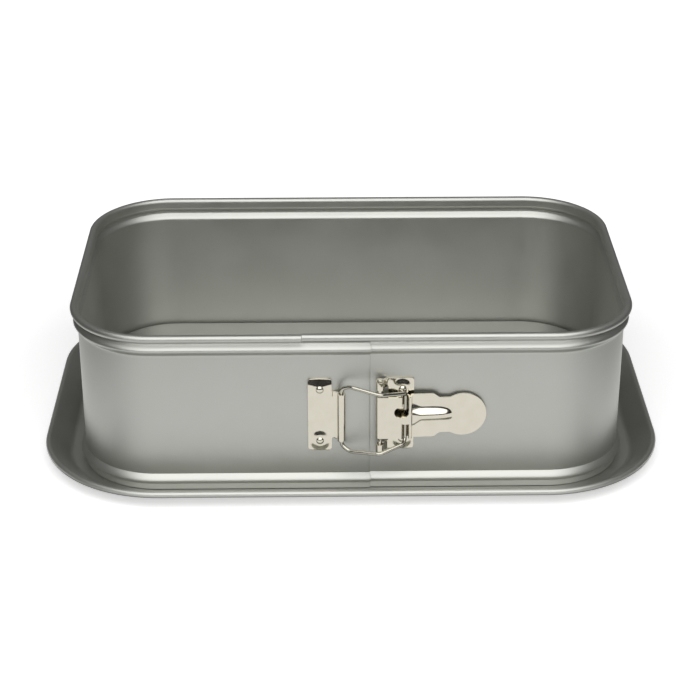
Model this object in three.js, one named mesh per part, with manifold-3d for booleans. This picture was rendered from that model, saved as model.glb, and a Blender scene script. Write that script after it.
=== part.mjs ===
// Rectangular springform pan. A leak tray carries a raised floor. A sprung side band stands round the
// floor, laps over itself at the front and is drawn tight by an over-centre latch with a wire bail.
// Millimetres, +Z up. The origin is under the centre of the tray, and the latch faces -Y.
import * as THREE from "three";
import { mergeVertices } from "three/addons/utils/BufferGeometryUtils.js";
import Module from "manifold-3d";

const wasm = await Module();
wasm.setup();

// Driving dimensions of the band
const INNER_LENGTH = 280; // inside the band, along X
const INNER_WIDTH = 174; // inside the band, along Y
const INNER_CORNER = 40; // corner radius inside the band
const PAN_HEIGHT = 89.2; // from the table to the top of the rolled rim
const SHEET = 0.6; // steel sheet of the band and the tray
const RIM_ROLL = 4.1; // outside diameter of the rolled rim
const RIM_TURN = 285; // degrees that the rim is rolled through
const UPPER_BEAD_DROP = 8.7; // from the top of the rim to the middle of the upper bead
const UPPER_BEAD_HEIGHT = 7.6;
const UPPER_BEAD_OUT = 1.7;
const LOWER_BEAD_RISE = 6.6; // from the table to the middle of the lower bead
const LOWER_BEAD_HEIGHT = 6;
const LOWER_BEAD_OUT = 2.4;
const SKIRT_FLARE = .6; // how far the hem below the lower bead turns out
const LATCH_LIFT = .75; // how far the latch sits above the middle of the plain wall
const LAP_LENGTH = 34; // overlap of the band's two ends
const SEAM_X = 8.6; // raw end of the outer layer, beside the latch

// Driving dimensions of the tray
const FLOOR_HEIGHT = 11.7; // top of the raised floor
const FLOOR_SHOULDER = 2.4; // outside radius at the floor's edge
const CHANNEL_FILLET = 1.2; // radius where the floor's side meets the channel
const BRIM_X = 21.6; // from the band's outside to the tray's outside, along X
const BRIM_Y = 19.4; // the same along Y
const TRAY_CORNER = 64; // outside corner radius of the lip
const TRAY_HEIGHT = 9.5; // top of the rolled lip
const TRAY_ROLL = 3.5; // outside diameter of the rolled lip
const TRAY_SLOPE = 40; // degrees that the tray's side leans up from the channel
const TRAY_BEND = 5; // radius where the channel turns up

// Driving dimensions of the latch
const LATCH_SHEET = 0.9;
const LATCH_HEIGHT = 40.6; // both plates, along Z
const PLATE_CORNER = 1.6;
const SEAM_TO_HINGE = 5.1; // from the raw end of the band to the lever's hinge
const HINGE_STANDOFF = 3.4; // hinge axis above the outer layer of the band
const PIN_DIAMETER = 2;
const PIN_HEAD = 3.2;
const PIN_HEAD_THICK = 0.7;
const KNUCKLE_TURN = 290; // degrees that a hinge knuckle is rolled through
const BRACKET_KNUCKLE = 4.9; // length of each bracket knuckle
const BRACKET_REACH = 17.2; // from the hinge to the bracket's right edge
const BRACKET_RIVET_X = 11.3; // from the hinge to the bracket's rivets
const BRACKET_RIVET_EDGE = 6.2; // from the bracket's ends to its rivets
const HOOK_WIDTH = 12; // flat of the hook plate, along X
const HOOK_NECK = 4.8; // from the flat's right edge to the middle of the rolled edge
const HOOK_RIVET_EDGE = 5.7; // from the hook plate's ends to its rivets
const HOOK_ROLL_LENGTH = 26.6; // the edge rolled round the bail's leg, along Z
const HOOK_STANDOFF = 3.5; // from the band to the middle of the rolled edge
const RIVET_SHANK = 2.4;
const RIVET_HEAD = 4;
const RIVET_DOME = 1.1;
const SEAT_TOP = 4.8; // raised seat under each rivet head
const SEAT_FOOT = 11;
const SEAT_RISE = 0.8;
const LEVER_EDGE = 8.6; // from the bracket's ends to the lever's knuckle and box, along Z
const LEVER_LENGTH = 53.8; // from the hinge to the round end
const BOX_LENGTH = 15.7; // from the hinge to the step down to the tongue
const STEP_DROP = 2; // tongue below the box
const STEP_RUN = 0.8;
const TONGUE_EDGE = 8.1; // from the bracket's ends to the tongue
const TONGUE_LENGTH = 26.6; // from the hinge to where the tongue draws in
const TONGUE_FALL = 2; // how far the tongue leans in by its end
const WAIST_HEIGHT = 19.8;
const WAIST_RUN = 4.2; // along X, from full height to the waist
const END_DIAMETER = 23.6;
const RIB_LENGTH = 36.8; // from the hinge to the point of the rib
const RIB_WIDTH = 7.4;
const RIB_SLOPE = 2.6; // width of each sloped side
const RIB_FLARE = 2.8; // how much wider each side of the rib is where it leaves the box
const WINDOW_LENGTH = 7.4;
const WINDOW_HEIGHT = 6.4;
const WINDOW_SHIFT = 2; // from the wire ends towards the hinge
const BAIL_THROW = 12.8; // from the hinge to the wire ends in the lever
const BAIL_STANDOFF = 3; // the wire ends above the outer layer of the band
const BAIL_REACH = 19.4; // from the hinge to the bail's upright leg
const BAIL_HEIGHT = 36.6; // greatest height of the loop, wire centres
const BAIL_RISE = 6.8; // stand-off of the arms where they leave the hook plate
const BAIL_RISE_RUN = 5.7; // from the leg to there, along X
const BAIL_KINK = 12.2; // stand-off of the arms where they pass the hinge
const BAIL_KINK_HEIGHT = 33.4; // height of the loop there
const BAIL_SHOULDER = 6.2; // stand-off of the arms where they turn in to the lever
const BAIL_TIP = 4.2; // from the latch's middle height to each wire end
const WIRE = 2;
const WIRE_BEND = 2.6; // from a bend's corner to where the wire runs straight
const TROUGH = 4.6; // outside width of the lever's troughs for the wire ends
const TROUGH_MOUTH = 3; // width of their open side
const UPPER_TROUGH_END = 6.4; // inner ends of the troughs, from the latch's middle height
const LOWER_TROUGH_END = 3.2;

// Clearances
const FIT = 0.3; // between faces that meet or slide
const PIN_FIT = 0.2; // round pins, rivets and wires, on the radius
const FLOOR_FIT = 0.4; // between the raised floor and the band

// Facets
const CORNER_FACETS = 8; // per quarter turn of the pan's corners
const BEAD_FACETS = 7;
const ROLL_FACETS = 11;
const ROUND_FACETS = 16; // round a rivet, pin or bore
const PLATE_FACETS = 4; // round each corner of a flat outline
const WIRE_SIDES = 10;
const WIRE_STEPS = 84;

// Places that follow from the sizes
const OUTER_LAYER = INNER_WIDTH / 2 + SHEET; // outer face of the band's outer layer, at the front
const LAP_STEP = SHEET + FIT; // the inner layer lies this much further in
const LAP_X = SEAM_X - LAP_LENGTH; // where the two rolled rims butt
const LOWER_BEAD_TOP = LOWER_BEAD_RISE + LOWER_BEAD_HEIGHT / 2;
const UPPER_BEAD_Z = PAN_HEIGHT - UPPER_BEAD_DROP;
const LATCH_Z = LATCH_LIFT + (LOWER_BEAD_TOP + UPPER_BEAD_Z - UPPER_BEAD_HEIGHT / 2) / 2;
const HINGE_X = SEAM_X + SEAM_TO_HINGE;
const KNUCKLE_BORE = PIN_DIAMETER / 2 + PIN_FIT;
const KNUCKLE_MID = KNUCKLE_BORE + LATCH_SHEET / 2;
const LEVER_FACE = HINGE_STANDOFF + KNUCKLE_BORE + LATCH_SHEET; // outer face of the lever's box
const LEVER_HEIGHT = LATCH_HEIGHT - 2 * LEVER_EDGE; // knuckle and box, along Z
const TONGUE_HEIGHT = LATCH_HEIGHT - 2 * TONGUE_EDGE;
const LEG_X = HINGE_X - BAIL_REACH;
const HOOK_RIGHT = LEG_X - HOOK_NECK; // right edge of the hook plate's flat
const HOOK_RIVET_X = HOOK_RIGHT - HOOK_WIDTH / 2;
const HOOK_RIVET_Z = LATCH_HEIGHT / 2 - HOOK_RIVET_EDGE; // either side of the latch's middle height
const BRACKET_RIVET_Z = LATCH_HEIGHT / 2 - BRACKET_RIVET_EDGE;
const BRACKET_RIVETS = HINGE_X + BRACKET_RIVET_X;
const PIVOT_X = HINGE_X + BAIL_THROW; // where the wire ends lie in the lever's troughs
const RIB_END = HINGE_X + RIB_LENGTH;
const STEP_X = HINGE_X + BOX_LENGTH;
const TIP_X = HINGE_X + LEVER_LENGTH;

const COATED_STEEL = new THREE.MeshStandardMaterial({ color: 0xa6a7a3, roughness: 0.38, metalness: 0.85 });
const PLATED_STEEL = new THREE.MeshStandardMaterial({ color: 0xd6d0c2, roughness: 0.18, metalness: 1 });

const { clamp, degToRad, lerp, smoothstep } = THREE.MathUtils;

function range(from, to, steps) {
  return Array.from({ length: steps + 1 }, (_, i) => lerp(from, to, i / steps));
}

// Turns a closed geometry so that its faces point out.
function facingOut(geometry) {
  const { array } = geometry.index;
  const [a, b, c] = [new THREE.Vector3(), new THREE.Vector3(), new THREE.Vector3()];
  let volume = 0;
  for (let i = 0; i < array.length; i += 3) {
    [a, b, c].forEach((corner, k) => corner.fromBufferAttribute(geometry.attributes.position, array[i + k]));
    volume += a.dot(b.cross(c));
  }
  if (volume < 0) array.reverse();
  return geometry;
}

// Closed surface through a row of like sections. The flat outline divides the two end caps.
function skin(sections, outline) {
  const count = sections[0].length;
  const last = (sections.length - 1) * count;
  const index = [];
  for (let s = 0; s < last; s += count)
    for (let i = 0; i < count; i++) {
      const next = (i + 1) % count;
      index.push(s + i, s + next, s + count + i);
      index.push(s + next, s + count + next, s + count + i);
    }
  const { area, triangulateShape } = THREE.ShapeUtils;
  const faces = triangulateShape(outline, []);
  const faceArea = faces.reduce((sum, face) => sum + area(face.map((i) => outline[i])), 0);
  const along = faceArea * area(outline) > 0;
  for (const face of faces) {
    const [a, b, c] = along ? face : face.toReversed();
    index.push(a, c, b);
    index.push(last + a, last + b, last + c);
  }
  const geometry = new THREE.BufferGeometry().setFromPoints(sections.flat());
  return facingOut(geometry.setIndex(index));
}

function solid(geometry) {
  const bare = geometry.index ? geometry.toNonIndexed() : geometry.clone();
  bare.deleteAttribute("normal");
  bare.deleteAttribute("uv");
  const merged = mergeVertices(bare, 1e-4);
  const vertProperties = merged.attributes.position.array;
  const triVerts = new Uint32Array(merged.index.array);
  return new wasm.Manifold(new wasm.Mesh({ numProp: 3, vertProperties, triVerts }));
}

function geometryOf(body) {
  const { vertProperties, triVerts } = body.getMesh();
  const geometry = new THREE.BufferGeometry();
  geometry.setAttribute("position", new THREE.BufferAttribute(vertProperties, 3));
  geometry.setIndex(new THREE.BufferAttribute(triVerts, 1));
  geometry.computeVertexNormals();
  return geometry;
}

function mesh(name, geometry, material) {
  const piece = new THREE.Mesh(geometry, material);
  piece.name = name;
  return piece;
}

// Unit normals on the left of a line of points.
function leftNormals(points) {
  return points.map((_, i) => {
    const before = points[Math.max(i - 1, 0)];
    const after = points[Math.min(i + 1, points.length - 1)];
    const along = after.clone().sub(before).normalize();
    return new THREE.Vector2(-along.y, along.x);
  });
}

// Closed outline of a sheet of even thickness about a centreline.
function sheetOutline(centre, thickness, normals = leftNormals(centre)) {
  const side = (offset) => centre.map((p, i) => p.clone().addScaledVector(normals[i], offset));
  return [...side(thickness / 2), ...side(-thickness / 2).reverse()];
}

// Points of an arc in degrees, turning either way.
function arc(x, y, radius, from, to, steps) {
  return range(degToRad(from), degToRad(to), steps).map(
    (a) => new THREE.Vector2(x + radius * Math.cos(a), y + radius * Math.sin(a)),
  );
}

function roundedRectangle(halfX, halfY, radius, height) {
  const corners = [[1, -1], [1, 1], [-1, 1], [-1, -1]];
  return corners.flatMap(([sx, sy], i) => {
    const [x, y] = [sx * (halfX - radius), sy * (halfY - radius)];
    const quarter = arc(x, y, radius, 90 * i - 90, 90 * i, CORNER_FACETS);
    return quarter.map((p) => new THREE.Vector3(p.x, p.y, height));
  });
}

// The tray's sheet as a centreline from inside the floor to the end of the rolled lip. X is the half length.
function trayCentreline(floorHalf, lipHalf) {
  const top = FLOOR_HEIGHT - SHEET / 2;
  const shoulder = FLOOR_SHOULDER - SHEET / 2;
  const low = SHEET / 2;
  const rise = low + CHANNEL_FILLET;
  const roll = (TRAY_ROLL - SHEET) / 2;
  const lipHeight = TRAY_HEIGHT - TRAY_ROLL / 2;
  const slope = degToRad(TRAY_SLOPE);
  const lipStart = new THREE.Vector2(
    lipHalf - roll * Math.sin(slope),
    lipHeight + roll * Math.cos(slope),
  );
  const bendTop = low + TRAY_BEND * (1 - Math.cos(slope));
  const bendEnd = lipStart.x - (lipStart.y - bendTop) / Math.tan(slope);
  const bendCentre = bendEnd - TRAY_BEND * Math.sin(slope);
  return [
    new THREE.Vector2(floorHalf - INNER_CORNER / 2, top),
    ...arc(floorHalf - shoulder, top - shoulder, shoulder, 90, 0, 4),
    ...arc(floorHalf + CHANNEL_FILLET, rise, CHANNEL_FILLET, 180, 270, 3),
    ...arc(bendCentre, low + TRAY_BEND, TRAY_BEND, 270, 270 + TRAY_SLOPE, 3),
    ...arc(lipHalf, lipHeight, roll, 90 + TRAY_SLOPE, -150, ROLL_FACETS),
  ];
}

// Leak tray: rounded rectangles from the middle of the floor out over the lip and back underneath.
function baseTray() {
  const floorX = INNER_LENGTH / 2 - FLOOR_FIT - SHEET / 2;
  const floorY = INNER_WIDTH / 2 - LAP_STEP - FLOOR_FIT - SHEET / 2;
  const floorCorner = INNER_CORNER - FLOOR_FIT - SHEET / 2;
  const lipX = INNER_LENGTH / 2 + SHEET + BRIM_X - TRAY_ROLL / 2;
  const lipY = OUTER_LAYER + BRIM_Y - TRAY_ROLL / 2;
  const lipCorner = TRAY_CORNER - TRAY_ROLL / 2;
  const channelMiddle = INNER_LENGTH / 2 + SHEET + SKIRT_FLARE;
  const outline = sheetOutline(trayCentreline(floorX, lipX), SHEET);
  const rings = outline.map(({ x, y }) =>
    x < channelMiddle
      ? roundedRectangle(x, floorY + x - floorX, floorCorner + x - floorX, y)
      : roundedRectangle(x, lipY + x - lipX, lipCorner + x - lipX, y),
  );
  const cap = rings[0].map((p) => new THREE.Vector2(p.x, p.y));
  return mesh("base_tray", geometryOf(solid(skin(rings, cap))), COATED_STEEL);
}

// Outward swell of a bead at a height: a smooth hump between its two edges.
function bead(z, middle, height, out) {
  const share = clamp((2 * (z - middle)) / height, -1, 1);
  return out * Math.cos((Math.PI / 2) * share) ** 2;
}

// The band's wall as a centreline from the hem up to below the rolled rim. X is the distance out.
function wallCentreline() {
  const hem = SHEET + FIT;
  const lowerFoot = LOWER_BEAD_RISE - LOWER_BEAD_HEIGHT / 2;
  const upperFoot = UPPER_BEAD_Z - UPPER_BEAD_HEIGHT / 2;
  const heights = [
    ...range(hem, lowerFoot, 3).slice(0, -1),
    ...range(lowerFoot, LOWER_BEAD_TOP, BEAD_FACETS),
    ...range(upperFoot, upperFoot + UPPER_BEAD_HEIGHT, BEAD_FACETS),
  ];
  return heights.map((z) => {
    const beads =
      bead(z, LOWER_BEAD_RISE, LOWER_BEAD_HEIGHT, LOWER_BEAD_OUT) +
      bead(z, UPPER_BEAD_Z, UPPER_BEAD_HEIGHT, UPPER_BEAD_OUT);
    const flare = Math.max(lowerFoot - z, 0) / (lowerFoot - hem);
    return new THREE.Vector2(beads + SKIRT_FLARE * flare, z);
  });
}

// Stations round the band from its inner end at the lap to where the rims butt: a place and the way out.
// The inner end lies one lap step further in, and the first corner takes that step up.
function bandStations() {
  const radius = INNER_CORNER + SHEET / 2;
  const [cornerX, cornerY] = [INNER_LENGTH / 2 - INNER_CORNER, INNER_WIDTH / 2 - INNER_CORNER];
  const inner = radius - LAP_STEP;
  const station = (x, y, outX, outY) => ({
    place: new THREE.Vector2(x, y),
    out: new THREE.Vector2(outX, outY).normalize(),
  });
  const corner = (sx, sy, from, depth) =>
    range(degToRad(from), degToRad(from + 90), CORNER_FACETS).map((a) => {
      const [c, s] = [Math.cos(a), Math.sin(a)];
      return station(sx * cornerX + radius * c, sy * cornerY + depth * s, depth * c, radius * s);
    });
  return [
    station(LAP_X + FIT, -cornerY - inner, 0, -1),
    ...corner(1, -1, -90, inner),
    ...corner(1, 1, 0, radius),
    ...corner(-1, 1, 90, radius),
    ...corner(-1, -1, 180, radius),
    station(LAP_X, -cornerY - radius, 0, -1),
  ];
}

function sweepBand(stations, outline) {
  const sections = stations.map(({ place, out }) =>
    outline.map(({ x, y }) => new THREE.Vector3(place.x + out.x * x, place.y + out.y * x, y)),
  );
  return solid(skin(sections, outline));
}

// Rivet hole along Y between two stand-offs from the outer layer's face.
function rivetHole(x, z, inner, outer) {
  const radius = RIVET_SHANK / 2 + PIN_FIT;
  const geometry = new THREE.CylinderGeometry(radius, radius, outer - inner, ROUND_FACETS);
  return solid(geometry.translate(x, -OUTER_LAYER - (outer + inner) / 2, z));
}

// Side band: the full section runs from the inner end round to the butt of the rims. From there a
// tongue without the rolled rim carries the outer layer on to its raw end.
function sideBand() {
  const wall = wallCentreline();
  const wallOut = wall.map(() => new THREE.Vector2(-1, 0)); // even thickness across, so the layers nest
  const roll = (RIM_ROLL - SHEET) / 2;
  const rim = arc(roll, PAN_HEIGHT - RIM_ROLL / 2, roll, 180, 180 - RIM_TURN, ROLL_FACETS);
  const full = sheetOutline([...wall, ...rim], SHEET, [...wallOut, ...leftNormals(rim)]);
  const tongue = sheetOutline(wall, SHEET, wallOut);
  const stations = bandStations();
  const { place, out } = stations.at(-1);
  const outerLayer = [LAP_X - LAP_STEP, SEAM_X].map((x) => ({ place: new THREE.Vector2(x, place.y), out }));
  let band = sweepBand(stations, full).add(sweepBand(outerLayer, tongue));
  for (const side of [1, -1]) {
    const hookZ = LATCH_Z + side * HOOK_RIVET_Z;
    const bracketZ = LATCH_Z + side * BRACKET_RIVET_Z;
    band = band.subtract(rivetHole(HOOK_RIVET_X, hookZ, -SHEET - FIT / 2, SHEET));
    band = band.subtract(rivetHole(BRACKET_RIVETS, bracketZ, -2 * LAP_STEP, 0));
  }
  return mesh("side_band", geometryOf(band), COATED_STEEL);
}

// Latch pieces are made about the outer layer's face at the latch's middle height: X, stand-off, height.
function latchPoint(x, standoff, z) {
  return new THREE.Vector3(x, -standoff, z);
}

// Flat plate with its outline in X and Z and its back at a stand-off.
function plate(shape, standoff, thickness) {
  const options = { depth: thickness, bevelEnabled: false, curveSegments: PLATE_FACETS };
  return solid(new THREE.ExtrudeGeometry(shape, options).rotateX(Math.PI / 2).translate(0, -standoff, 0));
}

// Bent strip with its section in X and stand-off, run along Z.
function strip(section, low, high) {
  const shape = new THREE.Shape(section.map(({ x, y }) => new THREE.Vector2(x, -y)));
  const options = { depth: high - low, bevelEnabled: false };
  return solid(new THREE.ExtrudeGeometry(shape, options).translate(0, 0, low));
}

// Round bar along Z at a place in X and stand-off.
function upright(x, standoff, radius, low, high) {
  const geometry = new THREE.CylinderGeometry(radius, radius, high - low, ROUND_FACETS);
  return solid(geometry.rotateX(Math.PI / 2).translate(x, -standoff, (low + high) / 2));
}

function roundedPlateShape(left, right, low, high) {
  const shape = new THREE.Shape();
  const r = Math.min(PLATE_CORNER, (right - left) / 3);
  shape.absarc(right - r, low + r, r, -Math.PI / 2, 0);
  shape.absarc(right - r, high - r, r, 0, Math.PI / 2);
  shape.absarc(left + r, high - r, r, Math.PI / 2, Math.PI);
  shape.absarc(left + r, low + r, r, Math.PI, 1.5 * Math.PI);
  return shape;
}

// Turned form about an axis that stands out from the wall.
function turnedOut(profile) {
  const points = profile.map(([radius, standoff]) => new THREE.Vector2(radius, standoff));
  return new THREE.LatheGeometry(points, ROUND_FACETS).rotateX(Math.PI);
}

// Raised seat pressed up under a rivet head, with the hole for its shank.
function withRivetSeat(body, x, standoff, z) {
  const top = standoff + SEAT_RISE;
  const seat = turnedOut([
    [0, standoff - LATCH_SHEET / 2],
    [SEAT_FOOT / 2, standoff - LATCH_SHEET / 2],
    [SEAT_FOOT / 2, standoff],
    [SEAT_TOP / 2, top],
    [0, top],
  ]);
  const radius = RIVET_SHANK / 2 + PIN_FIT;
  const hole = turnedOut([
    [0, standoff - 2 * LATCH_SHEET],
    [radius, standoff - 2 * LATCH_SHEET],
    [radius, top + SEAT_RISE],
    [0, top + SEAT_RISE],
  ]);
  return body.add(solid(seat.translate(x, 0, z))).subtract(solid(hole.translate(x, 0, z)));
}

// Domed rivet. A flat head inside is left out where another layer slides behind.
function rivet(name, x, z, seat, inside, insideHead) {
  const head = RIVET_HEAD / 2;
  const shank = RIVET_SHANK / 2;
  const dome = range(0, Math.PI / 2, 4).map((a) => [head * Math.cos(a), seat + RIVET_DOME * Math.sin(a)]);
  dome.at(-1)[0] = 0;
  const foot = insideHead
    ? [[0, inside - insideHead], [head, inside - insideHead], [head, inside], [shank, inside]]
    : [[0, inside], [shank, inside]];
  const geometry = turnedOut([...foot, [shank, seat], ...dome]);
  return mesh(name, geometry.translate(x, 0, z), PLATED_STEEL);
}

// Middle line of a sheet that climbs off the wall to the underside of a roll.
function climb(from, to, low, high) {
  return range(0, 1, 4).map(
    (s) => new THREE.Vector2(lerp(from, to, s), lerp(low, high, smoothstep(s, 0, 0.8))),
  );
}

// Hook plate on the outer layer: a flat with two rivet seats and an edge rolled round the bail's leg.
function hookPlate() {
  const half = LATCH_HEIGHT / 2;
  const flat = plate(roundedPlateShape(HOOK_RIGHT - HOOK_WIDTH, HOOK_RIGHT, -half, half), 0, LATCH_SHEET);
  const middle = LATCH_SHEET / 2;
  const roll = WIRE / 2 + PIN_FIT + middle;
  const centre = [
    new THREE.Vector2(HOOK_RIGHT - PLATE_CORNER, middle),
    ...climb(HOOK_RIGHT, LEG_X, middle, HOOK_STANDOFF - roll),
    ...arc(LEG_X, HOOK_STANDOFF, roll, 270, 270 + KNUCKLE_TURN, ROLL_FACETS).slice(1),
  ];
  const rolled = strip(sheetOutline(centre, LATCH_SHEET), -HOOK_ROLL_LENGTH / 2, HOOK_ROLL_LENGTH / 2);
  let body = flat.add(rolled);
  for (const side of [1, -1])
    body = withRivetSeat(body, HOOK_RIVET_X, LATCH_SHEET, side * HOOK_RIVET_Z);
  return mesh("hook_plate", geometryOf(body), PLATED_STEEL);
}

// Hinge bracket on the inner layer: a flat whose left edge rises into a rolled knuckle above and below.
function latchBracket() {
  const half = LATCH_HEIGHT / 2;
  const back = -LAP_STEP;
  const middle = back + LATCH_SHEET / 2;
  const knuckleLow = HINGE_STANDOFF - KNUCKLE_MID;
  const flatLeft = HINGE_X + KNUCKLE_BORE + LATCH_SHEET + knuckleLow - middle;
  const flat = plate(roundedPlateShape(flatLeft, HINGE_X + BRACKET_REACH, -half, half), back, LATCH_SHEET);
  const centre = [
    new THREE.Vector2(flatLeft + PLATE_CORNER, middle),
    ...climb(flatLeft, HINGE_X, middle, knuckleLow),
    ...arc(HINGE_X, HINGE_STANDOFF, KNUCKLE_MID, 270, 270 - KNUCKLE_TURN, ROLL_FACETS).slice(1),
  ];
  const section = sheetOutline(centre, LATCH_SHEET);
  let body = flat
    .add(strip(section, half - BRACKET_KNUCKLE, half))
    .add(strip(section, -half, BRACKET_KNUCKLE - half));
  for (const side of [1, -1])
    body = withRivetSeat(body, BRACKET_RIVETS, back + LATCH_SHEET, side * BRACKET_RIVET_Z);
  return mesh("latch_bracket", geometryOf(body), PLATED_STEEL);
}

// Hinge pin with a flattened head beyond each bracket knuckle.
function leverPin() {
  const end = LATCH_HEIGHT / 2 + FIT;
  const [shank, head, tip] = [PIN_DIAMETER / 2, PIN_HEAD / 2, end + PIN_HEAD_THICK];
  const upper = [[shank, end], [head, end], [head, tip], [0, tip]];
  const lower = upper.map(([radius, z]) => [radius, -z]).reverse();
  const points = [...lower, ...upper].map(([radius, z]) => new THREE.Vector2(radius, z));
  const geometry = new THREE.LatheGeometry(points, ROUND_FACETS).rotateX(Math.PI / 2);
  return mesh("lever_pin", geometry.translate(HINGE_X, -HINGE_STANDOFF, 0), PLATED_STEEL);
}

// Stand-off of the lever's outer face: a raised box, then a lower tongue with a rib that runs out to a point.
function leverFace(x, z) {
  const pastStep = clamp((x - STEP_X) / (RIB_END - STEP_X), 0, 1);
  const tongue = LEVER_FACE - STEP_DROP - TONGUE_FALL * clamp((x - STEP_X) / (TIP_X - STEP_X), 0, 1);
  const boxShare = 1 - smoothstep(x, STEP_X - STEP_RUN / 2, STEP_X + STEP_RUN / 2);
  const flare = RIB_FLARE * (1 - smoothstep(x, STEP_X, STEP_X + 2 * RIB_FLARE));
  const ribHalf = (RIB_WIDTH / 2) * Math.sqrt(1 - pastStep ** 4) + flare;
  const ribShare = clamp((ribHalf - Math.abs(z)) / RIB_SLOPE, 0, 1);
  const ribRise = STEP_DROP * (1 - pastStep ** 3);
  return lerp(tongue + ribRise * ribShare, LEVER_FACE, boxShare);
}

// Outline of the box and tongue in X and Z, drawn in at the waist before the round end.
function leverOutline() {
  const heights = [LEVER_HEIGHT, TONGUE_HEIGHT, WAIST_HEIGHT, END_DIAMETER];
  const [box, tongue, waist, end] = heights.map((height) => height / 2);
  const shoulder = HINGE_X + TONGUE_LENGTH;
  const centre = TIP_X - end;
  const meet = Math.asin(Math.min(waist / end, 1));
  const neck = shoulder + WAIST_RUN;
  const shape = new THREE.Shape();
  shape.moveTo(HINGE_X, -box);
  shape.lineTo(STEP_X - STEP_RUN, -box);
  shape.lineTo(STEP_X, -tongue);
  shape.lineTo(shoulder, -tongue);
  shape.bezierCurveTo(shoulder + WAIST_RUN / 2, -tongue, neck - WAIST_RUN / 2, -waist, neck, -waist);
  shape.absarc(centre, 0, end, meet - Math.PI, Math.PI - meet);
  shape.lineTo(neck, waist);
  shape.bezierCurveTo(neck - WAIST_RUN / 2, waist, shoulder + WAIST_RUN / 2, tongue, shoulder, tongue);
  shape.lineTo(STEP_X, tongue);
  shape.lineTo(STEP_X - STEP_RUN, box);
  shape.lineTo(HINGE_X, box);
  const window = new THREE.Path();
  const [windowX, windowZ] = [PIVOT_X - WINDOW_SHIFT, UPPER_TROUGH_END - WINDOW_HEIGHT / 2];
  window.absellipse(windowX, windowZ, WINDOW_LENGTH / 2, WINDOW_HEIGHT / 2, 0, 2 * Math.PI);
  shape.holes.push(window);
  return shape;
}

// Pressed sheet of the lever before trimming: its outer face over a grid, and the same face one sheet lower.
function pressedSheet() {
  const reach = Math.max(TONGUE_HEIGHT, LEVER_HEIGHT, END_DIAMETER) / 2 + LATCH_SHEET;
  const rib = RIB_WIDTH / 2;
  const across = [0, ...range(rib - RIB_SLOPE, rib + RIB_FLARE, 8), reach];
  const heights = [...across.slice(1).map((z) => -z).reverse(), ...across];
  const xs = [
    HINGE_X,
    ...range(STEP_X - STEP_RUN / 2, STEP_X + STEP_RUN / 2, 3),
    ...range(STEP_X + STEP_RUN, STEP_X + 2 * RIB_FLARE, 4),
    ...range(STEP_X + 3 * RIB_FLARE, RIB_END, 7),
    TIP_X + LATCH_SHEET,
  ];
  const sections = xs.map((x) => {
    const outer = heights.map((z) => latchPoint(x, leverFace(x, z), z));
    const inner = heights.map((z) => latchPoint(x, leverFace(x, z) - LATCH_SHEET, z));
    return [...outer, ...inner.reverse()];
  });
  return solid(skin(sections, sections[0].map((p) => new THREE.Vector2(p.y, p.z))));
}

// Latch lever: rolled knuckle, pressed box and tongue, and two open troughs that hold the wire ends.
function latchLever() {
  const half = LEVER_HEIGHT / 2;
  const sheetMiddle = LEVER_FACE - LATCH_SHEET / 2;
  const knuckle = [
    new THREE.Vector2(HINGE_X + LATCH_SHEET, sheetMiddle),
    ...arc(HINGE_X, HINGE_STANDOFF, KNUCKLE_MID, 90, 90 + KNUCKLE_TURN, ROLL_FACETS),
  ];
  const trim = plate(leverOutline(), -LEVER_FACE, 3 * LEVER_FACE);
  const round = (radius, low, high) => upright(PIVOT_X, BAIL_STANDOFF, radius, low, high);
  const trough = (low, high) => {
    const mouth = roundedPlateShape(PIVOT_X - TROUGH_MOUTH / 2, PIVOT_X + TROUGH_MOUTH / 2, low, high);
    return round(WIRE / 2 + PIN_FIT, low, high).add(plate(mouth, BAIL_STANDOFF, LEVER_FACE));
  };
  const inner = BAIL_TIP - PIN_FIT;
  const body = pressedSheet()
    .intersect(trim)
    .add(strip(sheetOutline(knuckle, LATCH_SHEET), -half, half))
    .add(round(TROUGH / 2, UPPER_TROUGH_END, half))
    .add(round(TROUGH / 2, -half, -LOWER_TROUGH_END))
    .subtract(trough(inner, LATCH_HEIGHT))
    .subtract(trough(-LATCH_HEIGHT, -inner));
  return mesh("latch_lever", geometryOf(body), PLATED_STEEL);
}

// Round wire along straight runs with rounded bends.
function wire(points, bend) {
  const path = new THREE.CurvePath();
  const towards = (from, to) => {
    const run = from.distanceTo(to);
    return from.clone().lerp(to, Math.min(bend / run, 0.45));
  };
  let start = points[0];
  points.slice(1, -1).forEach((corner, i) => {
    const [before, after] = [towards(corner, points[i]), towards(corner, points[i + 2])];
    path.add(new THREE.LineCurve3(start, before));
    path.add(new THREE.QuadraticBezierCurve3(before, corner, after));
    start = after;
  });
  path.add(new THREE.LineCurve3(start, points.at(-1)));
  const section = new THREE.Shape().absarc(0, 0, WIRE / 2, 0, 2 * Math.PI);
  const options = { steps: WIRE_STEPS, extrudePath: path, curveSegments: WIRE_SIDES / 2 };
  return new THREE.ExtrudeGeometry(section, options);
}

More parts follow.
